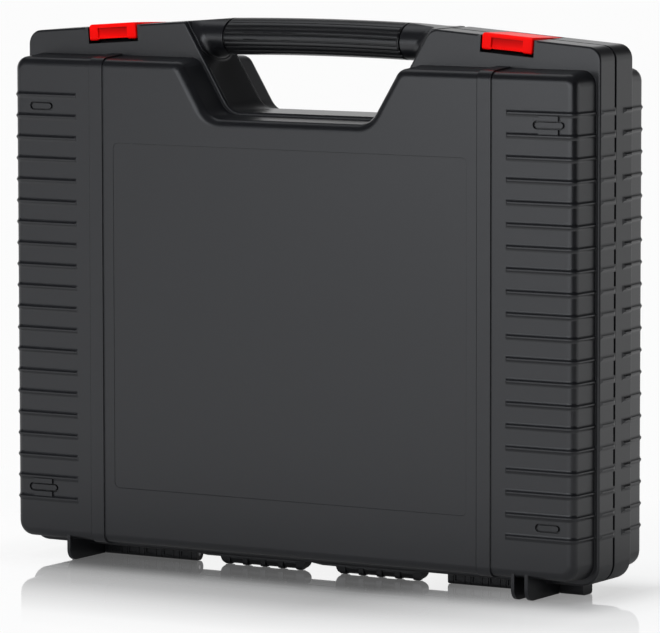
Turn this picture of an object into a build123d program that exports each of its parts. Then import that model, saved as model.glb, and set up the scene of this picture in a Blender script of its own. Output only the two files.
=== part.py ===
from build123d import *
import os
from math import cos, degrees, radians, sin, sqrt, tan

# Millimetres. X runs to the right, Y to the back, Z up. The case stands on its hinge side,
# and the origin is on the floor under its middle.

# Overall sizes
body_width = 459.0  # across the rim, without the side ribs
body_depth = 97.5  # from the front face to the rear face
rim_depth = 46.0  # from the front step of the rim to its rear step
shell_height = 371.8  # floor to the outer top corner of the rim
wall = 2.5
overcut = 1.0  # how far a cutting block reaches past what it cuts
least_radius = 1.0

# Hinge side
knuckle_radius = 4.5
swing_clearance = 0.5  # left between the lid's feet and the base when the lid lies fully open
hinge_pin_radius = 1.5
pin_clearance = 0.05
knuckle_gap = 0.4
lid_knuckle_width = 4.2
knuckle_pitch = 14.5
knuckle_reach = 1.25 * knuckle_radius  # the farthest corner of a knuckle from the hinge axis
group_end_length = 3.6  # rounded ends of the two middle groups, past their last knuckles
group_end_radius = 6.5
window_margin = 1.2
window_depth = 1.0
window_low = 2.6
window_high = 6.4
pin_end_gap = 0.2
bore_run_out = 1.0  # the pin bores reach this far past the open end of a group
inner_group_gap = 32.0  # between the two middle hinge groups
inner_group_length = 62.6
outer_group_start = 102.2  # inner end of the two outer hinge groups
fin_thickness = 2.5
fin_pitch = 5.2
fin_corner_radius = 8.0
fin_face_setback = 0.75  # fins stop this far behind the pan faces
left_fin_from_side = 48.1
right_fin_from_side = 47.0
rail_end_from_side = 21.8
rail_depth = 8.6
skirt_dip = 1.4  # the lid's rim hangs this much lower before the two middle groups
skirt_taper = 11.0

# Rim outline
rim_bottom_radius = 14.0
rim_top_radius = 10.0
tower_angle = 4.2  # degrees, the tops of the two towers rise towards the handle
tower_radius_left = 3.0
tower_radius_right = 10.0
recess_depth = 51.8  # handle recess below the outer top corner of the rim
recess_half_width = 61.05  # at the recess floor
recess_slope = 0.61  # sideways per height
recess_radius = 14.0
rim_edge_radius = 1.5

# Groove between the two shells
lid_rim_end = -3.15
base_rim_end = -0.35
tongue_thickness = 1.2
tongue_reach = 6.4
tongue_clearance = 0.3
tongue_end_gap = 1.5  # from the latch channels and from the lid's recess wall
base_lip_depth = 9.0  # smooth end of the base's rim, in front of its ribs

# Pans, which stand out from the rim
pan_side_setback = 3.3
pan_bottom_setback = 4.5
pan_top_drop = 15.3  # below the outer top corner of the rim
pan_recess_setback = 3.2
pan_floor_setback = 2.2
pan_radius_top = 10.0
pan_radius_bottom = 12.0
pan_recess_radius = 15.0
pan_edge_radius = 6.0
pan_draft = 4.0  # degrees

# Face details
band_inner_from_side = 79.2
band_width = 10.4
band_height = 1.1
band_groove_width = 0.8  # groove along the inner left edge of each band
band_groove_depth = 0.6
label_from_side = 87.8
label_bottom = 54.9
label_below_top = 74.8
label_depth = 0.4
label_radius = 4.0
rib_inner_from_side = 57.5
rib_pitch = 15.0
rib_first_below_top = 43.3
rib_last_least_height = 40.0
rib_height = 1.5  # where the base's ribs cross its rim
lid_rim_rib_height = 0.7  # the same on the lid
pan_rib_height = 0.9
rib_half_width = 2.6
rib_apex_half_width = 0.5
rib_hollow = 0.24  # depth of the curve in each flank, as a share of the rib's height
rib_start_ramp = 1.2  # length over which a rib rises from the face
rim_rib_ramp = 3.0  # the same at both ends of a rib on the rim
rib_sink = 1.0
rib_bridge_end = -0.65  # the lid's side ribs reach across the groove to here
left_plug_from_side = 27.9
right_plug_from_side = 25.0
plug_width = 4.2
plain_plug_length = 16.1
keyed_plug_length = 21.4
plug_thickness = 1.7
plug_edge_radius = 0.4
plug_gap = 0.7  # above and below a plug in its slot
plug_end_gap = 1.5
plug_back_gap = 0.05
key_pad_width = 15.0
key_pad_height = 0.7
key_pad_offset = 7.2  # right edge of the pad, from the plug's centre
key_groove_width = 1.3
key_groove_depth = 0.9

# Handle
finger_gap = 38.1
grip_height = 25.7
grip_depth = 35.0
grip_rise = 1.0
grip_half_length = 70.2
seam_width = 1.2
seam_depth = 1.3
core_height = 14.0
core_depth = 22.0
grip_clearance = 0.2
grip_split_gap = 0.1
flute_radius = 0.55
flute_angles = (50, 30, 11, -11, -29, -47, -66)  # places of the grooves round the oval
land_bulge = 0.45  # height of the rounded lands between the grooves
land_depth = 0.15  # how far a land is rooted in the grip, as a share of its radius
land_setback = 0.9  # from the ends of the grip
carrier_wall = 2.4
carrier_gap = 0.4
carrier_seat_gap = 0.3
flare_radius = 6.5
flare_steps = (0.0, 0.12, 0.3, 0.55, 0.8, 1.0)
flare_lap = 0.06  # the flare's small end is this much fuller than the collar
collar_pad = 1.0  # height of the pad round the flare
screw_radius = 1.5
screw_head_radius = 2.8
screw_head_height = 1.8
screw_length = 13.0
screw_clearance = 0.2
screw_head_edge = 0.6
screw_cross = (3.2, 0.7, 0.9)  # length, width and depth of each bar of the cross
screw_depths = (5.0, 13.0)
screw_above_floor = 44.0

# Latches
latch_from_side = 70.8
latch_width = 39.3
latch_side_gap = 1.0
latch_plate = 2.8
latch_proud = 1.7
latch_lip_height = 11.4
latch_lip_thickness = 2.6
latch_lip_proud = 0.5
latch_pocket_width = 24.5
latch_pocket_depth = 1.3
latch_pocket_top = 2.8
latch_pocket_lip = 0.7  # left below the pocket
latch_lip_raise = 1.0
latch_floor_gap = 1.9
latch_pin_depth = 16.0
latch_pin_drop = 4.5  # from the top of the lip down to the pin
latch_top_fall = 1.5  # the top plate comes down to the tower top by this much towards its pin
latch_pin_radius = 1.25
latch_barrel_radius = 3.0
latch_barrel_gap = 0.5
latch_edge_radius = 1.4  # round the lip's face
latch_top_radius = 2.1
latch_foot_radius = 1.6
latch_cheek = 4.4
trough_wall = 2.2
catch_height = 1.5
catch_thickness = 2.0
catch_gap = 0.4
latch_back_gap = 1.2

half_width = body_width / 2
tower_slope = tan(radians(tower_angle))
face_y = body_depth / 2
rim_y = rim_depth / 2
hinge_z = knuckle_radius
rim_bottom = 2 * knuckle_radius + swing_clearance
recess_floor = shell_height - recess_depth
pan_depth = face_y - rim_y
pan_top = shell_height - pan_top_drop
slant = sqrt(1 + recess_slope**2)
seat_inset = carrier_wall + carrier_seat_gap
far = 2 * (body_width + shell_height)  # larger than the whole case
grip_z = recess_floor + finger_gap + grip_height / 2
seam_x = grip_half_length + seam_width
latch_x = half_width - latch_from_side
latch_pin_z = latch_proud - latch_pin_drop
carrier_edge = rim_y - carrier_wall - carrier_gap  # depth of the handle frame's front and back faces


def tower_top(x, inset=0.0):
    """Height of the tower tops at distance x from the middle, drawn in by inset."""
    return shell_height + (half_width - abs(x)) * tower_slope - inset * sqrt(1 + tower_slope**2)


def recess_wall(z, inset=0.0):
    """Distance from the middle of the sloped recess wall at height z, drawn in by inset."""
    return recess_half_width + (z - recess_floor) * recess_slope + inset * slant


def tower_corner(inset, recess_inset):
    """Corner between a tower's top and the recess wall."""
    start = recess_half_width + recess_inset * slant
    level = tower_top(start, inset) + recess_slope * recess_floor * tower_slope
    z = level / (1 + recess_slope * tower_slope)
    return recess_wall(z, recess_inset), z


def rim_outline(inset=0.0, recess_inset=None):
    """Corners (x, z, radius) of the rim, drawn in by inset, and by recess_inset in the recess."""
    if recess_inset is None:
        recess_inset = inset
    side = half_width - inset
    low = rim_bottom + inset
    corner_x, corner_z = tower_corner(inset, recess_inset)
    floor_z = recess_floor - recess_inset
    floor_x = recess_wall(floor_z, recess_inset)
    bottom_radius = rim_bottom_radius - inset
    top_radius = rim_top_radius - inset
    hollow_radius = recess_radius + recess_inset
    return [
        (-side, low, bottom_radius),
        (side, low, bottom_radius),
        (side, tower_top(side, inset), top_radius),
        (corner_x, corner_z, max(tower_radius_right - recess_inset, least_radius)),
        (floor_x, floor_z, hollow_radius),
        (-floor_x, floor_z, hollow_radius),
        (-corner_x, corner_z, max(tower_radius_left - recess_inset, least_radius)),
        (-side, tower_top(side, inset), top_radius),
    ]


def recess_outline(inset):
    """Corners of the handle recess, widened by inset and open above the towers."""
    top = shell_height + recess_depth
    floor_z = recess_floor - inset
    top_x = recess_wall(top, inset)
    floor_x = recess_wall(floor_z, inset)
    radius = recess_radius + inset
    return [(top_x, top, 0), (-top_x, top, 0), (-floor_x, floor_z, radius), (floor_x, floor_z, radius)]


def pan_outline(inset=0.0):
    """Corners of a pan where it leaves the rim, drawn in by inset."""
    side = half_width - pan_side_setback - inset
    low = rim_bottom + pan_bottom_setback + inset
    top = pan_top - inset
    floor_z = recess_floor - pan_floor_setback - inset
    setback = pan_recess_setback + inset
    top_x = recess_wall(top, setback)
    floor_x = recess_wall(floor_z, setback)
    top_radius = pan_radius_top - inset
    hollow_radius = pan_recess_radius + inset
    return [
        (-side, low, pan_radius_bottom - inset),
        (side, low, pan_radius_bottom - inset),
        (side, top, top_radius),
        (top_x, top, top_radius),
        (floor_x, floor_z, hollow_radius),
        (-floor_x, floor_z, hollow_radius),
        (-top_x, top, top_radius),
        (-side, top, top_radius),
    ]


def flat_outline(corners):
    """Face on the XY plane with the given corners rounded."""
    points = [(x, z) for x, z, radius in corners]
    radii = [radius for x, z, radius in corners]
    return make_face(FilletPolyline(*points, radius=radii, close=True))


def stand_up(solid, y):
    """Turns a block built upwards from the XY plane so that it grows forwards from depth y."""
    return Pos(0, y, 0) * Rot(90, 0, 0) * solid


def slab(corners, y_front, y_back):
    """Straight-sided block between two depths."""
    return stand_up(extrude(flat_outline(corners), amount=y_back - y_front), y_back)


def block(x, y, z):
    """Box from its three ranges."""
    size = [high - low for low, high in (x, y, z)]
    centre = [(high + low) / 2 for low, high in (x, y, z)]
    return Pos(*centre) * Box(*size)


def to_back(solid):
    """The same piece, mirrored from the front to the back."""
    return mirror(solid, about=Plane.XZ)


def to_left(solid):
    """The same piece, mirrored from the right to the left."""
    return mirror(solid, about=Plane.YZ)


def on_both_sides(solid):
    """The piece on the right and its mirror image on the left."""
    return [solid, to_left(solid)]


def pan(inset, depth, edge_radius):
    """Drafted pan with a rounded face edge, growing forwards from the rim's front step."""
    body = extrude(flat_outline(pan_outline(inset)), amount=depth, taper=pan_draft)
    face = body.faces().sort_by(Axis.Z)[-1]
    return stand_up(fillet(face.edges(), edge_radius), -rim_y)


def rim(rim_end):
    """Solid rim from its front step to rim_end, with the front edge rounded."""
    body = extrude(flat_outline(rim_outline()), amount=rim_end + rim_y)
    face = body.faces().sort_by(Axis.Z)[-1]
    return stand_up(fillet(face.edges(), rim_edge_radius), rim_end)


def raised_bands():
    """The two upright bands, wrapped over the top and bottom of the pan."""
    skin = pan(-band_height, pan_depth + band_height, pan_edge_radius + band_height)
    inner = half_width - band_inner_from_side
    strip = block((inner, inner + band_width), (-far, 0), (0, far))
    return [skin & piece for piece in on_both_sides(strip)]


def band_grooves():
    """Groove along the left edge of each band, cut round the pan's edges."""
    depth = band_groove_depth
    core = pan(depth, pan_depth - depth, pan_edge_radius - depth)
    inner = half_width - band_inner_from_side
    left_edges = inner, -inner - band_width
    strips = [block((x - band_groove_width, x), (-far, -rim_y - depth), (0, far)) for x in left_edges]
    return [strip - core for strip in strips]


def rib_section(height):
    """Cross-section of a rib with hollow flanks, its foot sunk into the wall."""
    foot, apex = rib_half_width, rib_apex_half_width
    slope = sqrt((foot - apex) ** 2 + height**2)
    hollow = rib_hollow * height
    knee = (foot + apex) / 2 - hollow * height / slope, height / 2 - hollow * (foot - apex) / slope
    right = ThreePointArc((foot, 0), knee, (apex, height))
    left = ThreePointArc((-apex, height), (-knee[0], knee[1]), (-foot, 0))
    crown = Line((apex, height), (-apex, height))
    root = Polyline((-foot, 0), (-foot, -rib_sink), (foot, -rib_sink), (foot, 0))
    return make_face([right, crown, left, root])


def upright_prism(points):
    """Prism with the given XY outline, higher and lower than a rib."""
    return extrude(make_face(Polyline(*points, close=True)), amount=2 * rib_half_width, both=True)


def pan_rib():
    """One rib on the right of the front pan, rising from the face and going round the corner to the rim."""
    start = half_width - rib_inner_from_side
    base_x = half_width - pan_side_setback
    face_x = base_x - pan_depth * tan(radians(pan_draft))
    overlap = rim_edge_radius
    path = FilletPolyline(
        (start, -face_y), (face_x, -face_y), (base_x, -rim_y + overlap), radius=pan_edge_radius
    )
    plane = Plane(origin=(start, -face_y, 0), x_dir=(0, 0, 1), z_dir=(1, 0, 0))
    outer_y = -face_y - 2 * pan_rib_height
    points = [(start, -face_y), (start + 2 * rib_start_ramp, outer_y), (start - pan_rib_height, outer_y)]
    return sweep(plane * rib_section(pan_rib_height), path=path) - upright_prism(points)


def rim_rib(y_front, y_back, height):
    """One rib on the right side of the rim between two depths, ramped at both ends."""
    plane = Plane(origin=(half_width, y_front, 0), x_dir=(0, 0, 1), z_dir=(0, 1, 0))
    points = []
    for rise in (-2 * rib_sink, 2 * height):
        run = rim_rib_ramp * rise / height
        ends = [(half_width + rise, y_front + run), (half_width + rise, y_back - run)]
        points += ends if rise < 0 else reversed(ends)
    return extrude(plane * rib_section(height), amount=y_back - y_front) & upright_prism(points)


def rib_heights():
    """Heights of the ribs, from the top one down."""
    first = shell_height - rib_first_below_top
    count = int((first - rib_last_least_height) / rib_pitch) + 1
    return [first - rib_pitch * i for i in range(count)]


def ribs(rim_back, rim_rib_height):
    """All ribs of one shell, drawn for the front, those on the rim reaching back to rim_back."""
    rim_front = -rim_y + rim_edge_radius / 2
    pieces = on_both_sides(pan_rib()) + on_both_sides(rim_rib(rim_front, rim_back, rim_rib_height))
    return [Pos(0, 0, z) * piece for z in rib_heights() for piece in pieces]


def plug_places():
    """Centre and kind of the four slot plugs on a face."""
    heights = rib_heights()
    high = (heights[0] + heights[1]) / 2
    low = (heights[-1] + heights[-2]) / 2
    left_x = left_plug_from_side - half_width
    right_x = half_width - right_plug_from_side
    return {
        "upper_left": (left_x, high, False),
        "upper_right": (right_x, high, True),
        "lower_left": (left_x, low, True),
        "lower_right": (right_x, low, False),
    }


def plug_length(keyed):
    """Length of a keyed or a plain plug."""
    return keyed_plug_length if keyed else plain_plug_length


def plug_at(place):
    """A slot plug with a rounded face, in its place on the front face."""
    x, z, keyed = place
    body = extrude(SlotOverall(plug_length(keyed), plug_width), amount=plug_thickness)
    body = fillet(body.faces().sort_by(Axis.Z)[-1].edges(), plug_edge_radius)
    return Pos(x, -face_y + plug_thickness, z) * Rot(90, 0, 0) * body


def plug_slot(place):
    """Slot for a plug, a little deeper and larger than the plug."""
    x, z, keyed = place
    depth = plug_thickness + plug_back_gap
    shape = SlotOverall(plug_length(keyed) + 2 * plug_end_gap, plug_width + 2 * plug_gap)
    return Pos(x, -face_y + depth, z) * Rot(90, 0, 0) * extrude(shape, amount=depth + 2 * key_pad_height)


def key_strip(place, x_range, y_range):
    """Box beside a keyed plug that reaches from rib to rib, with its X range given from the plug's centre."""
    x, z, keyed = place
    reach = rib_pitch / 2 - rib_half_width / 2
    return block((x + x_range[0], x + x_range[1]), y_range, (z - reach, z + reach))


def key_pad(place):
    """Raised pad round the left part of a keyed plug."""
    x_range = key_pad_offset - key_pad_width, key_pad_offset
    return key_strip(place, x_range, (-face_y - key_pad_height, -face_y + wall / 2))


def key_groove(place):
    """Groove along the right edge of a key pad."""
    x_range = key_pad_offset, key_pad_offset + key_groove_width
    return key_strip(place, x_range, (-face_y - pan_rib_height, -face_y + key_groove_depth))


def plug_cuts():
    """Slots for the four plugs of the front face, and the grooves beside the keyed ones."""
    places = plug_places().values()
    return [plug_slot(place) for place in places] + [key_groove(place) for place in places if place[2]]


def label_recess():
    """Shallow panel in the front face."""
    x = half_width - label_from_side
    z_low, z_high = label_bottom, shell_height - label_below_top
    corners = [(-x, z_low, label_radius), (x, z_low, label_radius)]
    corners += [(x, z_high, label_radius), (-x, z_high, label_radius)]
    return slab(corners, -face_y - wall, -face_y + label_depth)


def fin(x, y_inner):
    """Foot fin under the front pan at x, from near the face back to y_inner."""
    y_face = -face_y + fin_face_setback
    top = rim_bottom + pan_bottom_setback + 2 * pan_edge_radius
    outline = [(y_face, 0, fin_corner_radius), (y_inner, 0, 0), (y_inner, top, 0), (y_face, top, 0)]
    plate = extrude(Plane.YZ * flat_outline(outline), amount=fin_thickness / 2, both=True)
    return Pos(x, 0, 0) * plate


def cavity(rim_end):
    """Inside of the front shell."""
    deep = pan(wall, pan_depth - wall, pan_edge_radius - wall)
    inner = pan_outline(wall)
    neck = slab(inner, -rim_y, -rim_y + 2 * wall)
    wide = slab(rim_outline(wall, seat_inset + wall), -rim_y + carrier_wall, rim_end)
    return [deep, neck, wide]


def shell_blank(rim_end):
    """Front shell without its hinge, latch and rim parts, and still solid inside."""
    body = pan(0, pan_depth, pan_edge_radius) + rim(rim_end) + raised_bands()
    for place in plug_places().values():
        if place[2]:
            body += key_pad(place)
    return body


# ---- Hinge ----


def x_bar(outline, x_low, x_high):
    """Bar along X with a YZ section, given as (y, z, radius) corners about the hinge axis."""
    bar = extrude(Plane.YZ * flat_outline(outline), amount=x_high - x_low)
    return Pos(x_low, 0, hinge_z) * bar


def axle(x_low, x_high, radius):
    """Cylinder on the hinge axis."""
    return Pos(x_low, 0, hinge_z) * Rot(0, 90, 0) * Cylinder(
        radius, x_high - x_low, align=(Align.CENTER, Align.CENTER, Align.MIN)
    )


def web_outline(y_low, y_high):
    """Section of a web that ties a knuckle to the rim above it."""
    top = knuckle_radius + wall
    return [(y_low, 0, 0), (y_high, 0, 0), (y_high, top, 0), (y_low, top, 0)]


def lid_knuckle(x_low, x_high):
    """Lid knuckle: flat in front, round behind, with a web up to the lid's rim."""
    r = knuckle_radius
    nose = x_bar([(-r, -r, r / 2), (0, -r, 0), (0, r, 0), (-r, r, 0)], x_low, x_high)
    web = x_bar(web_outline(-r, lid_rim_end), x_low, x_high)
    return nose + axle(x_low, x_high, r) + web


def base_knuckle(x_low, x_high, back=None):
    """Base knuckle: rounded front corners, a flat back and a web up to the base's rim."""
    r = knuckle_radius
    back = back or r
    nose = x_bar([(-r, -r, r / 2), (back, -r, r / 2), (back, r, 0), (-r, r, r / 2)], x_low, x_high)
    web = x_bar(web_outline(base_rim_end, back), x_low, x_high)
    return nose + web


def base_barrel(x_low, x_high):
    """Round base knuckle, slightly thinner than the lid's, with a web up to the base's rim."""
    r = knuckle_radius - swing_clearance
    return axle(x_low, x_high, r) + x_bar(web_outline(base_rim_end, r), x_low, x_high)


def hinge_groups():
    """Start, end and kind of the four hinge groups. The outer two have boxed knuckles."""
    start = inner_group_gap / 2
    reach = fin_thickness / 2 + swing_clearance
    left_end = -(half_width - left_fin_from_side) + reach
    right_end = half_width - right_fin_from_side - fin_pitch - reach
    return [
        (left_end, -outer_group_start, True),
        (-start - inner_group_length, -start, False),
        (start, start + inner_group_length, False),
        (outer_group_start, right_end, True),
    ]


def knuckle_spans(group):
    """Spans along X of the lid's and the base's knuckles in a group."""
    start, end, boxed = group
    count = round((end - start - lid_knuckle_width) / knuckle_pitch)
    pitch = (end - start - lid_knuckle_width) / count
    lid = [(start + i * pitch, start + i * pitch + lid_knuckle_width) for i in range(count + 1)]
    base = [(left[1] + knuckle_gap, right[0] - knuckle_gap) for left, right in zip(lid, lid[1:])]
    return lid, base


def window(span):
    """Shallow window in the front of a boxed base knuckle."""
    x_low, x_high = span[0] + window_margin, span[1] - window_margin
    return block((x_low, x_high), (-far, -knuckle_radius + window_depth), (window_low, window_high))


def group_ends(group):
    """Rounded end blocks of a middle group, which carry its pin's ends."""
    start, end, boxed = group
    x_low, x_high = start - group_end_length, end + group_end_length
    ends = lid_knuckle(x_low, start + knuckle_gap) + lid_knuckle(end - knuckle_gap, x_high)
    top = rim_bottom + wall
    corners = [(x_low, 0, group_end_radius), (x_high, 0, group_end_radius), (x_high, top, 0), (x_low, top, 0)]
    return ends & slab(corners, -rim_y, rim_y)


def skirt(group):
    """Low part of the lid's front rim before a middle group, tapered at both ends."""
    start, end, boxed = group
    x_low, x_high = start - group_end_length, end + group_end_length
    top = rim_bottom + wall / 2
    low = rim_bottom - skirt_dip
    far_low, far_high = x_low - skirt_taper, x_high + skirt_taper
    points = [(far_low, top), (far_low, rim_bottom), (x_low, low)]
    points += [(x_high, low), (far_high, rim_bottom), (far_high, top)]
    y_front = -rim_y + rim_edge_radius
    return slab([(x, z, 0) for x, z in points], y_front, y_front + wall)


def lid_hinge_parts():
    """All knuckles of the lid, with the ends and skirts of the middle groups."""
    groups = hinge_groups()
    middle_groups = [group for group in groups if not group[2]]
    parts = [lid_knuckle(*span) for group in groups for span in knuckle_spans(group)[0]]
    for group in middle_groups:
        parts += [group_ends(group), skirt(group)]
    return parts


def base_hinge_parts():
    """All knuckles of the base."""
    parts = []
    for group in hinge_groups():
        for span in knuckle_spans(group)[1]:
            parts.append(base_knuckle(*span) - window(span) if group[2] else base_barrel(*span))
    return parts


def pin_hole(group):
    """Bore for a hinge pin, cut from both shells and open at the left end of the group."""
    start, end, boxed = group
    left = start if boxed else start - group_end_length
    return axle(left - bore_run_out, end, hinge_pin_radius + pin_clearance)


def pin_holes():
    """Bores for all hinge pins."""
    return [pin_hole(group) for group in hinge_groups()]


def fin_places():
    """Middle of the left and of the right fin set."""
    return -(half_width - left_fin_from_side), half_width - right_fin_from_side


def lid_fins():
    """One fin on the left and two on the right, which pass between the base's when the lid lies open."""
    left, right = fin_places()
    return [fin(x, lid_rim_end) for x in (left, right - fin_pitch, right + fin_pitch)]


def base_fins():
    """Two fins on the left and one on the right, drawn for the front."""
    left, right = fin_places()
    y_inner = -knuckle_reach - swing_clearance
    return [fin(x, y_inner) for x in (left - fin_pitch, left + fin_pitch, right)]


def foot_rails():
    """Rails under the base's rim outside the fins."""
    left, right = fin_places()
    end = half_width - rail_end_from_side
    clear = fin_thickness / 2 + swing_clearance
    return [
        base_knuckle(-end, left - clear, rail_depth),
        base_knuckle(right + fin_pitch + clear, end, rail_depth),
    ]


# ---- Latches, in a frame on the tower top: x along the top, y back, z away from it ----


def latch_frames():
    """Places of the left and the right latch."""
    z = tower_top(latch_x)
    return {
        "left": Pos(-latch_x, 0, z) * Rot(0, -tower_angle, 0),
        "right": Pos(latch_x, 0, z) * Rot(0, tower_angle, 0),
    }


def latch_body():
    """Red latch: top plate, finger lip with its pocket, and the barrel on the pin."""
    half = latch_width / 2
    front = -rim_y - latch_lip_proud
    low = latch_proud - latch_lip_height
    middle_low = low + latch_lip_raise
    plate = block((-half, half), (front, latch_pin_depth), (latch_proud - latch_plate, latch_proud))
    lip = block((-half, half), (front, front + latch_lip_thickness), (low, latch_proud))
    corners = [(-half, low, latch_foot_radius), (half, low, latch_foot_radius)]
    corners += [(half, latch_proud, latch_top_radius), (-half, latch_proud, latch_top_radius)]
    body = plate + lip + latch_axle(latch_barrel_radius, latch_width)
    body &= slab(corners, front - overcut, latch_pin_depth + 2 * latch_barrel_radius)
    body = fillet(body.faces().sort_by(Axis.Y)[0].edges(), latch_edge_radius)
    pocket_half = latch_pocket_width / 2
    pocket_y = (front - overcut, front + latch_pocket_depth)
    pocket_z = (middle_low + latch_pocket_lip, latch_proud - latch_pocket_top)
    pocket = block((-pocket_half, pocket_half), pocket_y, pocket_z)
    arch_half = pocket_half + latch_lip_raise
    arch_points = [(-arch_half, low), (-pocket_half, middle_low), (pocket_half, middle_low), (arch_half, low)]
    arch = Pos(0, front + 2 * latch_lip_thickness, 0) * Rot(90, 0, 0) * extrude(
        make_face(Polyline(*arch_points, close=True)), amount=3 * latch_lip_thickness
    )
    body -= latch_fall()
    return body - pocket - arch - latch_axle(latch_pin_radius + pin_clearance, 2 * latch_width)


def latch_fall():
    """Space above the latch's sloping top."""
    front = -rim_y - latch_lip_proud + latch_edge_radius
    back = latch_pin_depth + 2 * latch_barrel_radius
    top, low = latch_proud + overcut, latch_proud - latch_top_fall
    points = [(front, top), (front, latch_proud), (latch_pin_depth, low), (back, low), (back, top)]
    section = Plane.YZ * make_face(Polyline(*points, close=True))
    return extrude(section, amount=latch_width, both=True)


def latch_axle(radius, length):
    """Cylinder on the latch's pivot."""
    return Pos(0, latch_pin_depth, latch_pin_z) * Rot(0, 90, 0) * Cylinder(radius, length)


def latch_channel_half():
    """Half the width of the channel that the latch lies in."""
    return latch_width / 2 + latch_side_gap


def lid_channel_depth():
    """Depth of the lid's channel below the tower top."""
    return latch_lip_height - latch_proud + latch_floor_gap


def base_channel_depth():
    """Depth of the base's channel below the tower top."""
    return latch_barrel_radius - latch_pin_z + latch_barrel_gap


def lid_trough():
    """Solid around the lid's latch channel."""
    half = latch_channel_half() + trough_wall
    return block((-half, half), (-rim_y, lid_rim_end), (-lid_channel_depth() - trough_wall, far))


def lid_channel():
    """Channel through the lid's tower."""
    half = latch_channel_half()
    return block((-half, half), (-2 * rim_y, 0), (-lid_channel_depth(), far))


def catch():
    """Ledge with a ramp, on the channel floor behind the lip."""
    front = -rim_y - latch_lip_proud + latch_lip_thickness + catch_gap
    back = front + catch_height + catch_thickness
    floor = -lid_channel_depth()
    root, top = floor - trough_wall / 2, floor + catch_height
    points = [(front, root), (front, floor), (front + catch_height, top), (back, top), (back, root)]
    section = Plane.YZ * make_face(Polyline(*points, close=True))
    return extrude(section, amount=latch_pocket_width / 2, both=True)


def base_trough():
    """Solid around the base's latch channel, with cheeks for the pin."""
    half = latch_channel_half() + latch_cheek
    low = -base_channel_depth() - trough_wall
    return block((-half, half), (base_rim_end, rim_y - carrier_wall), (low, far))


def base_channel():
    """Channel in the base's tower, closed at the back."""
    half = latch_channel_half()
    y_back = latch_pin_depth + latch_barrel_radius + latch_back_gap
    return block((-half, half), (base_rim_end - overcut, y_back), (-base_channel_depth(), far))


def latch_pin():
    """Pin through a latch and both cheeks."""
    return latch_axle(latch_pin_radius, 2 * (latch_channel_half() + latch_cheek - pin_end_gap))


def latch_pin_bore():
    """Bore for a latch pin through the cheeks."""
    return latch_axle(latch_pin_radius + pin_clearance, 2 * (latch_channel_half() + latch_cheek + overcut))


# ---- Handle ----


def arched(section, y, z):
    """Bar of the given section along the grip's arch, which rises slightly to the middle."""
    radius = seam_x**2 / (2 * grip_rise)
    turn = degrees((seam_x + grip_rise) / radius)
    axis = Axis((0, 0, grip_z + grip_rise - radius), (0, 1, 0))
    face = Pos(0, y, grip_z + grip_rise + z) * (Plane.YZ * section)
    return revolve(face.rotate(axis, -turn), axis=axis, revolution_arc=2 * turn)


def between(solid, half_length):
    """The middle stretch of a bar along X."""
    return solid & block((-half_length, half_length), (-far, far), (0, far))


def grip_bar(height, depth):
    """Oval bar along the grip's arch."""
    return arched(Ellipse(depth / 2, height / 2), 0, 0)


def grip_point(angle, share=1.0):
    """Point (y, z) of the oval at an angle, drawn in towards its centre by a share."""
    return share * grip_depth / 2 * cos(radians(angle)), share * grip_height / 2 * sin(radians(angle))


def lands():
    """Rounded lands between the grooves on the rear flank of the grip."""
    pieces = []
    for high, low in zip(flute_angles, flute_angles[1:]):
        top, bottom, middle = grip_point(high), grip_point(low), (high + low) / 2
        swell = 1 + land_bulge / Vector(*grip_point(middle)).length
        crest = ThreePointArc(top, grip_point(middle, swell), bottom)
        root = Polyline(bottom, grip_point(middle, 1 - land_depth), top)
        pieces.append(between(arched(make_face([crest, root]), 0, 0), grip_half_length - land_setback))
    return pieces


def flutes():
    """Thin grooves along the rear flank of the grip."""
    return [arched(Circle(flute_radius), *grip_point(angle)) for angle in flute_angles]


def grip_half():
    """Rear half of the fluted grip sleeve around the core bar."""
    outside = between(grip_bar(grip_height, grip_depth), grip_half_length)
    ends = [edge for edge in outside.edges() if abs(abs(edge.center().X) - grip_half_length) < grip_rise]
    outside = fillet(ends, seam_depth / 2)
    inside = grip_bar(core_height + 2 * grip_clearance, core_depth + 2 * grip_clearance)
    sleeve = outside & block((-far, far), (grip_split_gap / 2, far), (0, far))
    return sleeve + lands() - inside - flutes()


def collar():
    """Right collar of the handle, with its flared root on the sloped wall."""
    normal = Vector(-1, 0, recess_slope).normalized()
    half_y, half_z = grip_depth / 2, grip_height / 2
    reach = half_width - seam_x
    straight = Pos(seam_x, 0, grip_z) * extrude(Plane.YZ * Ellipse(half_y, half_z), amount=reach)
    sections = []
    for share in flare_steps:
        rise = share * flare_radius
        grow = flare_radius - sqrt(flare_radius**2 - (flare_radius - rise) ** 2) + flare_lap
        origin = (recess_wall(grip_z) - rise * slant, 0, grip_z)
        plane = Plane(origin=origin, x_dir=(0, 1, 0), z_dir=normal)
        sections.append(plane * Ellipse(half_y + grow, half_z * slant + grow))
    flare = loft(sections)
    root = Plane(origin=(recess_wall(grip_z, carrier_wall), 0, grip_z), x_dir=(0, 1, 0), z_dir=normal)
    pad = root * Ellipse(half_y + flare_radius, half_z * slant + flare_radius)
    plinth = extrude(pad, carrier_wall + collar_pad)
    top = grip_z + half_z
    corner_x, corner_z = tower_corner(0, carrier_wall)
    crown = [(0, 0, 0), (corner_x, 0, 0), (corner_x, corner_z, 0), (seam_x, top, 0), (0, top, 0)]
    bound = slab(recess_outline(carrier_wall), -carrier_edge, carrier_edge) & slab(crown, -far, far)
    return (straight + flare + plinth) & bound


def carrier_frame():
    """Strip that lines the handle recess between the two rim steps."""
    lining = slab(recess_outline(carrier_wall), -carrier_edge, carrier_edge)
    return lining & slab(rim_outline(), -carrier_edge, carrier_edge)


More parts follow.
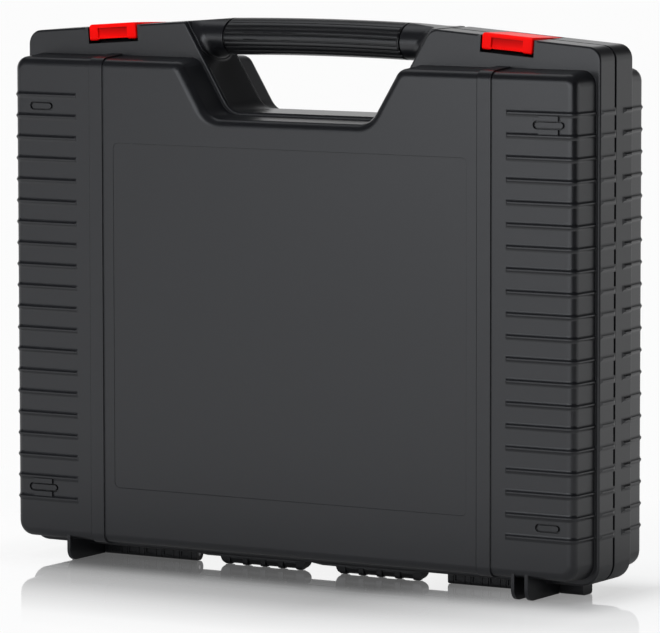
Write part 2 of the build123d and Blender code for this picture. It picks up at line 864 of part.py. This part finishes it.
def screw_frames():
    """Places of the handle screws, pointing into the collars."""
    z = recess_floor + screw_above_floor
    x = recess_wall(z, seat_inset + wall)
    frames = []
    for side in (-1, 1):
        for y in screw_depths:
            direction = (-side, 0, recess_slope)
            frames.append(Plane(origin=(side * x, y, z), x_dir=(0, 1, 0), z_dir=direction))
    return frames


def screw():
    """Pan-head screw pointing up, its head below the origin, with a cross recess."""
    down = (Align.CENTER, Align.CENTER, Align.MAX)
    up = (Align.CENTER, Align.CENTER, Align.MIN)
    head = Cylinder(screw_head_radius, screw_head_height, align=down)
    head = fillet(head.edges().sort_by(Axis.Z)[0], screw_head_edge)
    shank = Cylinder(screw_radius, screw_length, align=up)
    length, width, depth = screw_cross
    cross = Box(length, width, depth, align=up) + Box(width, length, depth, align=up)
    return head + shank - Pos(0, 0, -screw_head_height) * cross


def screw_bores(grow):
    """Bores for the handle screws."""
    bore = Cylinder(screw_radius + grow, 2 * (screw_length + overcut))
    return [frame.location * bore for frame in screw_frames()]


# ---- Pieces ----


def tongue():
    """Thin wall inside the groove, which the base's rim carries and the lid's rim covers."""
    outer = wall + tongue_clearance
    inner = outer + tongue_thickness
    front = lid_rim_end - tongue_reach
    ring = slab(rim_outline(outer), front, rim_y / 2) - slab(rim_outline(inner), front - overcut, rim_y)
    recess_x = tower_corner(0, seat_inset + wall)[0] + tongue_end_gap
    latch_edge = latch_channel_half() + latch_cheek + tongue_end_gap
    low = recess_floor - 3 * wall
    gaps = [block((-recess_x, recess_x), (-far, far), (low, far))]
    strip = block((latch_x - latch_edge, latch_x + latch_edge), (-far, far), (low, far))
    return ring - gaps - on_both_sides(strip)


def base_lip():
    """Thicker end of the base's rim, drawn for the back."""
    inner = wall + tongue_clearance + tongue_thickness
    solid = slab(rim_outline(), base_rim_end, base_rim_end + base_lip_depth)
    return solid - slab(rim_outline(inner, seat_inset + wall), base_rim_end - overcut, far)


def lid_shell():
    """Front shell."""
    body = shell_blank(lid_rim_end) + lid_fins() + ribs(rib_bridge_end, lid_rim_rib_height)
    body -= cavity(lid_rim_end)
    seat = slab(recess_outline(seat_inset), -rim_y + carrier_wall, rim_y)
    skin = slab(rim_outline(), -rim_y, lid_rim_end)
    body -= seat
    for frame in latch_frames().values():
        body += (frame * lid_trough()) & (skin - seat)
        body -= frame * lid_channel()
        body += frame * catch()
    body += lid_hinge_parts()
    body -= pin_holes() + plug_cuts() + band_grooves() + [label_recess()]
    return body


def base_shell():
    """Rear shell."""
    lip_end = base_rim_end + base_lip_depth
    blank = shell_blank(-base_rim_end) + base_fins() + ribs(-lip_end, rib_height)
    blank -= cavity(-base_rim_end)
    blank -= plug_cuts() + band_grooves() + [label_recess()]
    body = to_back(blank) + base_lip() + tongue()
    seat = slab(recess_outline(seat_inset), -rim_y, rim_y - carrier_wall)
    skin = slab(rim_outline(), base_rim_end, rim_y)
    body -= seat
    for frame in latch_frames().values():
        body += (frame * base_trough()) & (skin - seat)
        body -= frame * base_channel()
        body -= frame * latch_pin_bore()
    body += base_hinge_parts() + foot_rails()
    body -= pin_holes() + screw_bores(screw_clearance)
    return body


def handle_carrier():
    """U-shaped handle frame with both collars and the core bar."""
    core = grip_bar(core_height, core_depth)
    neck = grip_bar(grip_height - 2 * seam_depth, grip_depth - 2 * seam_depth)
    neck -= between(neck, grip_half_length + grip_clearance)
    return carrier_frame() + on_both_sides(collar()) + core + neck - screw_bores(pin_clearance)


def hinge_pin(group):
    """Pin through one hinge group, flush with its ends."""
    start, end, boxed = group
    return axle(start + pin_end_gap, end - pin_end_gap, hinge_pin_radius)


def build_parts():
    """Every piece by its name."""
    frames = latch_frames()
    parts = {
        "lid_shell": lid_shell(),
        "base_shell": base_shell(),
        "handle_carrier": handle_carrier(),
        "handle_grip_front": to_back(grip_half()),
        "handle_grip_rear": grip_half(),
        "handle_screws": Compound(children=[frame.location * screw() for frame in screw_frames()]),
    }
    for side, frame in frames.items():
        parts[f"latch_{side}"] = frame * latch_body()
        parts[f"latch_pin_{side}"] = frame * latch_pin()
    for number, group in enumerate(hinge_groups(), 1):
        parts[f"hinge_pin_{number}"] = hinge_pin(group)
    for name, place in plug_places().items():
        parts[f"lid_plug_{name}"] = plug_at(place)
        parts[f"base_plug_{name}"] = to_back(plug_at(place))
    return parts


os.makedirs("parts", exist_ok=True)
for name, part in build_parts().items():
    export_step(part, f"parts/{name}.step")
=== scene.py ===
from math import pi, radians

import bpy
from mathutils import Euler, Matrix, Vector


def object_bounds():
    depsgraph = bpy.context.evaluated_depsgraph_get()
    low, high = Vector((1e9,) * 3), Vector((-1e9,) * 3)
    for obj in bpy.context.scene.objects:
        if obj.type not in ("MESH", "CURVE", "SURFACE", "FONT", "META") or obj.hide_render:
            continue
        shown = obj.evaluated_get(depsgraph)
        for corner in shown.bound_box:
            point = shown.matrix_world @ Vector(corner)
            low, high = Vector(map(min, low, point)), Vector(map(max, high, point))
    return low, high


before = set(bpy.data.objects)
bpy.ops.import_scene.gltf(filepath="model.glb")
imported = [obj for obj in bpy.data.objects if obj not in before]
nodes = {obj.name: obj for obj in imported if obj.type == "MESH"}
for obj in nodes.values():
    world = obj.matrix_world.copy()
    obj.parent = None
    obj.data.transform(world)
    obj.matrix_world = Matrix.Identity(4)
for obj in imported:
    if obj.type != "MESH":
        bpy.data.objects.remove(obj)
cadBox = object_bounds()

scene = bpy.context.scene
scene.view_settings.view_transform = "Standard"
print("loaded", len(nodes), "nodes of the case")


# Shader helpers

class Signal:
    # one output of a node; adding, multiplying and so on puts in the Math nodes
    def __init__(self, finish, output):
        self.finish = finish
        self.output = output

    def other(self, name):
        return Signal(self.finish, self.output.node.outputs[name])

    def maths(self, operation, first, second=0.0, clamp=False):
        return self.finish.node("Math", {"operation": operation, "use_clamp": clamp}, {0: first, 1: second})

    def __add__(self, value):
        return self.maths("ADD", self, value)

    __radd__ = __add__

    def __sub__(self, value):
        return self.maths("SUBTRACT", self, value)

    def __rsub__(self, value):
        return self.maths("SUBTRACT", value, self)

    def __mul__(self, value):
        return self.maths("MULTIPLY", self, value)

    __rmul__ = __mul__

    def __truediv__(self, value):
        return self.maths("DIVIDE", self, value)

    def __rtruediv__(self, value):
        return self.maths("DIVIDE", value, self)

    def clamped(self):
        return self.maths("ADD", self, 0.0, clamp=True)


class Finish:
    # a node tree with one method that makes any node
    def __init__(self, owner):
        self.owner = owner
        owner.use_nodes = True
        self.tree = owner.node_tree
        self.tree.nodes.clear()

    def node(self, kind, settings=None, sockets=None):
        new = self.tree.nodes.new("ShaderNode" + kind)
        for name, value in (settings or {}).items():
            if name == "stops":
                self.setStops(new.color_ramp, value)
            else:
                setattr(new, name, value)
        for name, value in (sockets or {}).items():
            if isinstance(value, Signal):
                self.tree.links.new(value.output, new.inputs[name])
            else:
                new.inputs[name].default_value = value
        shown = [output for output in new.outputs if output.enabled]
        return Signal(self, shown[0]) if shown else new

    def setStops(self, ramp, stops):
        while len(ramp.elements) < len(stops):
            ramp.elements.new(1.0)
        for element, (position, level) in zip(ramp.elements, stops):
            element.position = position
            element.color = (level, level, level, 1.0)

    def place(self):
        return self.node("TexCoord").other("Object")

    def along(self, vector, axis):
        return self.node("SeparateXYZ", {}, {0: vector}).other(axis)

    def vector(self, operation, first, second=(0.0, 0.0, 0.0)):
        return self.node("VectorMath", {"operation": operation}, {0: first, 1: second})

    def noise(self, place, scale, detail, roughness=0.55, stretch=None):
        if stretch:
            place = self.node("Mapping", {"vector_type": "POINT"}, {"Vector": place, "Scale": stretch})
        sockets = {"Vector": place, "Scale": scale, "Detail": detail, "Roughness": roughness}
        return self.node("TexNoise", {}, sockets)

    def ramp(self, value, stops):
        return self.node("ValToRGB", {"stops": stops}, {"Fac": value})

    def mixColours(self, factor, first, second):
        return self.node("Mix", {"data_type": "RGBA"}, {0: factor, 6: first, 7: second})

    def bump(self, strength, distance, height, normal=None):
        sockets = {"Strength": strength, "Distance": distance, "Height": height}
        if normal:
            sockets["Normal"] = normal
        return self.node("Bump", {}, sockets)

    def wornEdges(self, radius, sharpness):
        # the normal rounded over the edges, and how far it leans from the face's own
        rounded = self.node("Bevel", {"samples": 4}, {"Radius": radius})
        flat = self.node("NewGeometry").other("Normal")
        facing = self.vector("DOT_PRODUCT", rounded, flat).other("Value")
        return rounded, ((1.0 - facing) * sharpness).clamped()

    def close(self, shader, kind="Material"):
        self.node("Output" + kind, {}, {"Surface": shader})
        return self.owner


def between(value, low, high):
    return ((value - low) / (high - low)).clamped()


def rgb(colour, share=1.0):
    return (colour[0] * share, colour[1] * share, colour[2] * share, 1.0)


# Camera, at the photograph's place

shot = {
    "place": (1.92673, -3.17958, 0.56485),
    "azimuth": 31.144,
    "downwards": 5.9333,
    "roll": -0.0756,
    "lens": 294.16,
    "sensor": 36.0,
    "farthest": 100.0,
}
cameraData = bpy.data.cameras.new("camera")
cameraData.lens = shot["lens"]
cameraData.sensor_width = shot["sensor"]
cameraData.clip_end = shot["farthest"]
camera = bpy.data.objects.new("camera", cameraData)
aim = Euler((radians(90 - shot["downwards"]), 0, radians(shot["azimuth"]))).to_matrix()
aim = aim @ Matrix.Rotation(radians(shot["roll"]), 3, "Z")
camera.matrix_world = Matrix.Translation(shot["place"]) @ aim.to_4x4()
scene.collection.objects.link(camera)
scene.camera = camera
print("camera placed")


# Moulded plastic of the shells, the handle and the plugs

shellPlastic = {
    "colour": (0.0066, 0.0068, 0.0080),
    "sheen": (0.955, 0.97, 1.0, 1.0),
    "deepest": 0.88,  # shares of the colour that it drifts between
    "lightest": 1.16,
    "rubbed": (0.018, 0.018, 0.020),  # edges that hands and benches rub
    "rubbedShare": 0.5,
    "roughness": 0.31,
    "roughnessSpread": 0.06,
    "indexOfRefraction": 1.58,
    "cloudScale": 9.0,
    "streakScale": 26.0,
    "streakStretch": (1.0, 1.0, 0.18),
    "streakWear": ((0.35, 0.25), (0.65, 1.0)),
    "dustScale": 160.0,
    "dustStops": ((0.60, 0.0), (0.78, 1.0)),
    "dustBrightness": 1.3,
    "dustShare": 0.10,
    "dustRoughness": 0.08,
    "grainSize": 0.00055,
    "grainHeight": 0.000035,
    "grainStrength": 0.8,
    "poreShare": 0.4,
    "poreScale": 0.7,  # of the grain's
    "flowHeight": 0.00020,
    "flowStrength": 0.35,
    "edgeRadius": 0.0005,
    "edgeSharpness": 2.2,
    "edgePolish": 0.10,
}
gripPlastic = dict(
    shellPlastic, colour=(0.0060, 0.0061, 0.0068), roughness=0.30, grainHeight=0.000020, grainSize=0.00045
)
plugPlastic = dict(shellPlastic, colour=(0.0062, 0.0063, 0.0074), roughness=0.31, edgeRadius=0.00025)


def mouldedPlastic(name, look):
    finish = Finish(bpy.data.materials.new(name))
    place = finish.place()
    grainScale = 1.0 / look["grainSize"]
    cloud = finish.noise(place, look["cloudScale"], 4.0)
    streaks = finish.noise(place, look["streakScale"], 3.0, stretch=look["streakStretch"])
    grain = finish.noise(place, grainScale, 2.0, 0.6)
    pores = finish.node(
        "TexVoronoi", {"feature": "F1"}, {"Vector": place, "Scale": look["poreScale"] * grainScale}
    )
    dust = finish.ramp(finish.noise(place, look["dustScale"], 6.0, 0.7), look["dustStops"])
    rounded, edge = finish.wornEdges(look["edgeRadius"], look["edgeSharpness"])
    edge = edge * finish.ramp(streaks, look["streakWear"])
    shade = (cloud * 0.5 + streaks * 0.3 + grain * 0.2).clamped()
    colour = finish.mixColours(
        shade, rgb(look["colour"], look["deepest"]), rgb(look["colour"], look["lightest"])
    )
    colour = finish.mixColours(edge * look["rubbedShare"], colour, rgb(look["rubbed"]))
    dusty = rgb(look["rubbed"], look["dustBrightness"])
    colour = finish.mixColours(dust * look["dustShare"], colour, dusty)
    spread = look["roughnessSpread"]
    roughness = cloud * spread + grain * spread + (look["roughness"] - spread)
    roughness = (roughness + dust * look["dustRoughness"] - edge * look["edgePolish"]).clamped()
    flow = finish.bump(look["flowStrength"], look["flowHeight"], cloud, rounded)
    texture = grain * (1.0 - look["poreShare"]) + pores * look["poreShare"]
    shader = finish.node("BsdfPrincipled", {}, {
        "Base Color": colour,
        "Roughness": roughness,
        "Normal": finish.bump(look["grainStrength"], look["grainHeight"], texture, flow),
        "IOR": look["indexOfRefraction"],
        "Specular Tint": look["sheen"],
    })
    return finish.close(shader)


# Red latches

latchPlastic = {
    "colour": (0.940, 0.0030, 0.0020),
    "deepest": 0.86,  # shares of the colour that it drifts between
    "lightest": 1.12,
    "worn": (1.000, 0.040, 0.025),
    "wornShare": 0.55,
    # painted shade: the finger pocket's colour is darker at its top and lighter towards its bottom
    "pocketTop": 0.3765,
    "pocketBottom": 0.3690,
    "pocketFrom": -0.02335,
    "pocketTo": -0.02235,
    "paintedPocketShadeTop": 0.45,
    "paintedPocketShadeBottom": 0.95,
    "indexOfRefraction": 1.53,
    "specular": 0.05,
    "roughness": 0.34,
    "cloudRoughness": 0.12,
    "scuffRoughness": 0.08,
    "cloudScale": 40.0,
    "grainScale": 2600.0,
    "grainHeight": 0.000014,
    "grainStrength": 0.7,
    "scuffScale": 240.0,
    "scuffStretch": (1.0, 1.0, 5.0),
    "scuffStops": ((0.58, 0.0), (0.74, 1.0)),
    "flowHeight": 0.0002,
    "flowStrength": 0.3,
    "edgeRadius": 0.00045,
    "edgeSharpness": 2.5,
}


def redPlastic(name, look):
    finish = Finish(bpy.data.materials.new(name))
    place = finish.place()
    cloud = finish.noise(place, look["cloudScale"], 4.0)
    grain = finish.noise(place, look["grainScale"], 2.0, 0.6)
    scuffs = finish.noise(place, look["scuffScale"], 5.0, 0.65, stretch=look["scuffStretch"])
    scuffs = finish.ramp(scuffs, look["scuffStops"])
    rounded, edge = finish.wornEdges(look["edgeRadius"], look["edgeSharpness"])
    shade = (cloud * 0.7 + grain * 0.3).clamped()
    colour = finish.mixColours(
        shade, rgb(look["colour"], look["deepest"]), rgb(look["colour"], look["lightest"])
    )
    colour = finish.mixColours(edge * look["wornShare"], colour, rgb(look["worn"]))
    # painted shade in the finger pocket: its front-facing floor is coloured darker towards the top
    sunk = between(finish.along(place, "Y"), look["pocketFrom"], look["pocketTo"])
    facingFront = finish.along(finish.node("NewGeometry").other("Normal"), "Y") * -1.0
    pocket = (sunk * facingFront).clamped() * (1.0 - edge)
    down = between(finish.along(place, "Z"), look["pocketTop"], look["pocketBottom"])
    paintedPocketShade = finish.mixColours(
        down, rgb(look["colour"], look["paintedPocketShadeTop"]), rgb(look["colour"], look["paintedPocketShadeBottom"])
    )
    colour = finish.mixColours(pocket, colour, paintedPocketShade)
    roughness = cloud * look["cloudRoughness"] + scuffs * look["scuffRoughness"]
    roughness = (roughness + (look["roughness"] - look["cloudRoughness"] / 2)).clamped()
    flow = finish.bump(look["flowStrength"], look["flowHeight"], cloud, rounded)
    shader = finish.node("BsdfPrincipled", {}, {
        "Base Color": colour,
        "Roughness": roughness,
        "Normal": finish.bump(look["grainStrength"], look["grainHeight"], grain, flow),
        "IOR": look["indexOfRefraction"],
        "Specular IOR Level": look["specular"],
    })
    return finish.close(shader)


# Steel pins and screws

steelLook = {
    "colour": (0.50, 0.50, 0.51),
    "tarnish": (0.16, 0.15, 0.14),
    "roughness": 0.30,
    "turningRoughness": 0.16,
    "tarnishRoughness": 0.18,
    "turningScale": 900.0,
    "turningStretch": (1.0, 0.15, 0.15),
    "turningHeight": 0.00003,
    "turningStrength": 0.5,
    "spotScale": 320.0,
    "spotStops": ((0.45, 0.0), (0.75, 1.0)),
}


def steel(name, look):
    finish = Finish(bpy.data.materials.new(name))
    place = finish.place()
    turned = finish.noise(place, look["turningScale"], 2.0, stretch=look["turningStretch"])
    spots = finish.ramp(finish.noise(place, look["spotScale"], 5.0, 0.7), look["spotStops"])
    colour = finish.mixColours(spots, rgb(look["colour"]), rgb(look["tarnish"]))
    roughness = turned * look["turningRoughness"] + spots * look["tarnishRoughness"]
    roughness = (roughness + (look["roughness"] - look["turningRoughness"] / 2)).clamped()
    shader = finish.node("BsdfPrincipled", {}, {
        "Base Color": colour,
        "Roughness": roughness,
        "Metallic": 1.0,
        "Normal": finish.bump(look["turningStrength"], look["turningHeight"], turned),
    })
    return finish.close(shader)


def dress(material, slotName, *starts):
    for name, piece in nodes.items():
        if name.startswith(starts):
            piece.data.materials.clear()
            piece.data.materials.append(material)


dress(mouldedPlastic("shellPlastic", shellPlastic), "shell", "base_shell", "lid_shell", "handle_carrier")
dress(mouldedPlastic("gripPlastic", gripPlastic), "grip", "handle_grip")
dress(mouldedPlastic("plugPlastic", plugPlastic), "plug", "lid_plug", "base_plug")
dress(redPlastic("latchPlastic", latchPlastic), "latch", "latch_left", "latch_right")
dress(steel("pinSteel", steelLook), "steel", "hinge_pin", "latch_pin", "handle_screws")
print("dressed the case in", len(bpy.data.materials), "finishes")


# Floor

studio = {
    "floorSize": 60.0,
    "floorDrop": 0.0002,  # below the feet
    "floorColour": (0.93, 0.93, 0.935),
    "white": 0.973,
    # levels by the distance from the case, as a share of "near"
    "near": 0.40,
    "mirror": (
        (0.0, 0.80), (0.035, 0.72), (0.075, 0.61), (0.12, 0.55),
        (0.19, 0.50), (0.33, 0.26), (0.50, 0.04), (0.62, 0.0),
    ),
    "shadow": ((0.0, 0.35), (0.10, 0.25), (0.30, 0.12), (1.0, 0.0)),
    # painted shadow: the floor's glow is darker close to the case
    "shade": ((0.0, 0.66), (0.025, 0.78), (0.05, 0.89), (0.075, 0.95), (0.125, 1.0)),
    "mirrorRoughness": 0.03,
    "mirrorWeakensFrom": 0.07,  # along X
    "mirrorWeakensTo": 0.26,
    "mirrorWeakensBy": 0.70,
    # painted shade: how bright the case's own gloss sees the floor, dimmer close to the case and away from
    # its front, by the distance as a share of "glossNear"
    "inGloss": 0.92,
    "glossNear": 0.36,
    "glossShade": ((0.0, 0.20), (0.5, 0.55), (1.0, 1.0)),
    "glossBehind": 0.80,
    "glossFront": 0.3,  # distance in front of the middle where it is in full
}
floorData = bpy.data.meshes.new("floor")
half = studio["floorSize"] / 2
floorCorners = [(-half, -half, 0), (half, -half, 0), (half, half, 0), (-half, half, 0)]
floorData.from_pydata(floorCorners, [], [(0, 1, 2, 3)])
floor = bpy.data.objects.new("floor", floorData)
floor.location.z = -studio["floorDrop"]
scene.collection.objects.link(floor)

finish = Finish(bpy.data.materials.new("paleFloor"))
rays = finish.node("LightPath")
toCamera = rays.other("Is Camera Ray")
place = finish.place()
footprint = (cadBox[1][0], cadBox[1][1], 1.0)
outside = finish.vector("SUBTRACT", finish.vector("ABSOLUTE", place), footprint)
outside = finish.vector("MAXIMUM", outside)
distance = finish.vector("LENGTH", outside).other("Value")
away = distance / studio["near"]
seen = (toCamera + rays.other("Is Glossy Ray") + rays.other("Is Transmission Ray")).clamped()
# painted shade in the floor's glow as the case's gloss sees it
dim = finish.ramp(distance / studio["glossNear"], studio["glossShade"]) * studio["inGloss"]
front = (finish.along(place, "Y") / -studio["glossFront"]).clamped()
dim = dim * (front * (1.0 - studio["glossBehind"]) + studio["glossBehind"])
bright = toCamera * (studio["white"] - dim) + dim
# the glow's colour carries the painted shadow around the case
glow = finish.node("Emission", {}, {"Color": finish.ramp(away, studio["shade"]), "Strength": bright})
lit = finish.node("BsdfDiffuse", {}, {"Color": rgb(studio["floorColour"])})
mirror = finish.node(
    "BsdfGlossy", {}, {"Color": (1.0, 1.0, 1.0, 1.0), "Roughness": studio["mirrorRoughness"]}
)
bare = finish.node("MixShader", {}, {0: seen * (1.0 - finish.ramp(away, studio["shadow"])), 1: lit, 2: glow})
rightward = between(finish.along(place, "X"), studio["mirrorWeakensFrom"], studio["mirrorWeakensTo"])
shine = toCamera * finish.ramp(away, studio["mirror"]) * (1.0 - rightward * studio["mirrorWeakensBy"])
floorData.materials.append(finish.close(finish.node("MixShader", {}, {0: shine, 1: bare, 2: mirror})))
print("floor laid")


# Backdrop: white and low behind the case, dark above it

backdropLook = {
    "level": 0.97,
    "ambient": 0.03,
    "bottom": 0.16,  # heights of a direction between which it fades out
    "top": 0.34,
    "lift": 0.10,  # higher on the left, where the tops of the towers face it
    "liftReach": 0.4,
    "rightLoss": 0.5,  # weaker on the right, where the side of the case faces it
    "rightReach": 0.5,
    "frontEdge": -0.25,  # it rises to full between these directions along Y
    "backEdge": 0.25,
}
world = bpy.data.worlds.new("studio")
scene.world = world
sky = Finish(world)
skyCamera = sky.node("LightPath").other("Is Camera Ray")
skyWay = sky.node("TexCoord").other("Generated")
sideways = sky.along(skyWay, "X")
behind = between(sky.along(skyWay, "Y"), backdropLook["frontEdge"], backdropLook["backEdge"])
lift = between(sideways * -1.0, 0.0, backdropLook["liftReach"]) * backdropLook["lift"]
above = between(sky.along(skyWay, "Z") - lift, backdropLook["bottom"], backdropLook["top"])
loss = between(sideways, 0.0, backdropLook["rightReach"]) * backdropLook["rightLoss"]
backdrop = behind * (1.0 - above) * (1.0 - loss)
level = backdrop * backdropLook["level"] + backdropLook["ambient"]
level = skyCamera * studio["white"] + (1.0 - skyCamera) * level
sky.close(sky.node("Background", {}, {"Color": (1.0, 1.0, 1.0, 1.0), "Strength": level}), "World")


# Lamps

lampColour = (0.965, 0.98, 1.0)
lamps = [
    # name, place, aim, width, height, radiance, seen in gloss
    ("keyLamp", (0.0, -2.45, 0.66), (0.0, 0.0, 0.25), 2.8, 1.1, 2.15, True),
    ("sideLamp", (2.35, 1.35, 0.8), (0.0, 0.0, 0.2), 0.9, 1.0, 0.75, True),
    ("rearLamp", (-0.54, 0.62, 1.70), (0.0, 0.0, 0.3), 1.45, 0.9, 0.65, True),
    ("frontLamp", (-0.9, -2.3, 1.7), (0.0, 0.0, 0.2), 1.8, 1.6, 4.2, False),
    ("topLamp", (0.0, 0.0, 2.4), (0.0, 0.0, 0.2), 2.6, 2.2, 2.6, False),
]
for name, place, target, width, height, radiance, inGloss in lamps:
    lampData = bpy.data.lights.new(name, "AREA")
    lampData.shape = "RECTANGLE"
    lampData.size = width
    lampData.size_y = height
    lampData.energy = radiance * pi * width * height
    lampData.color = lampColour
    lamp = bpy.data.objects.new(name, lampData)
    lamp.location = place
    lamp.rotation_euler = (Vector(place) - Vector(target)).to_track_quat("Z", "Y").to_euler()
    lamp.visible_camera = False
    lamp.visible_glossy = inGloss
    scene.collection.objects.link(lamp)

# a dark card on the right keeps the corner between front and side dark
card = {"azimuth": 64.0, "distance": 1.1, "width": 1.15, "height": 1.3, "colour": (0.004, 0.004, 0.0045)}
cardData = bpy.data.meshes.new("darkCard")
cardSide = card["width"] / 2
cardTop = card["height"]
cardCorners = [(-cardSide, 0, 0), (cardSide, 0, 0), (cardSide, 0, cardTop), (-cardSide, 0, cardTop)]
cardData.from_pydata(cardCorners, [], [(0, 1, 2, 3)])
cardFinish = Finish(bpy.data.materials.new("darkCard"))
cardShader = cardFinish.node("BsdfDiffuse", {}, {"Color": rgb(card["colour"])})
cardData.materials.append(cardFinish.close(cardShader))
darkCard = bpy.data.objects.new("darkCard", cardData)
cardTurn = Matrix.Rotation(radians(card["azimuth"]), 4, "Z")
darkCard.matrix_world = cardTurn @ Matrix.Translation((0, -card["distance"], 0))
darkCard.visible_camera = False
scene.collection.objects.link(darkCard)
print("studio lit by", len(lamps), "lamps")
